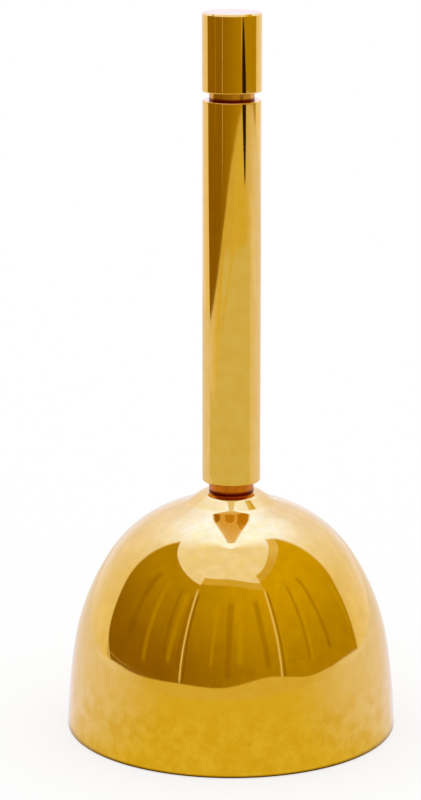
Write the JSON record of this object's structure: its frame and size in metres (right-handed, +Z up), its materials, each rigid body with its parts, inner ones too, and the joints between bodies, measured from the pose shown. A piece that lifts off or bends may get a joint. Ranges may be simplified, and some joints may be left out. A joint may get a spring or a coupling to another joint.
{
  "type": "altar bell",
  "caption": "Dome-shaped brass altar bell that stands on its rim, with a long straight grooved handle, a capped top, and a ball clapper that swivels and swings inside.",
  "frame": {"origin": "centre of the mouth, in the plane of the rim that the bell stands on", "axes": "+Z up along the handle and the axis of revolution; +Y along the clapper's pin at rest"},
  "size_m": [0.0762, 0.0762, 0.1655],
  "materials": {
    "polished_brass": "mirror polished and lacquered, warm gold",
    "turned_brass": "fine turned, unpolished",
    "plated_steel": "zinc plated, slightly dull",
    "red_fibre": "vulcanised fibre, dark red, matt"
  },
  "bodies": {
    "bell": {"bell_cup": "polished_brass", "crown_collar": "polished_brass", "handle_tube": "polished_brass", "cap_collar": "polished_brass", "handle_cap": "polished_brass", "tie_rod": "plated_steel", "fibre_washer": "red_fibre", "crown_washer": "plated_steel", "spring_washer": "plated_steel", "crown_nut": "plated_steel", "swivel_washer": "red_fibre", "swivel_screw": "plated_steel"},
    "stirrup": {"clapper_stirrup": "turned_brass", "stirrup_pin": "turned_brass", "pin_washer_left": "red_fibre", "pin_washer_right": "red_fibre"},
    "clapper": {"clapper_shank": "turned_brass", "ball_lock_nut": "turned_brass", "clapper_ball": "turned_brass"}
  },
  "joints": [
    {"name": "stirrup_turn", "type": "hinge", "parent": "bell", "child": "stirrup", "pos_m": [0, 0, 0.0434], "axis": [0, 0, 1], "continuous": true},
    {"name": "clapper_swing", "type": "hinge", "parent": "stirrup", "child": "clapper", "pos_m": [0, 0, 0.04014], "axis": [0, 1, 0], "range_deg": [-55, 55]}
  ]
}
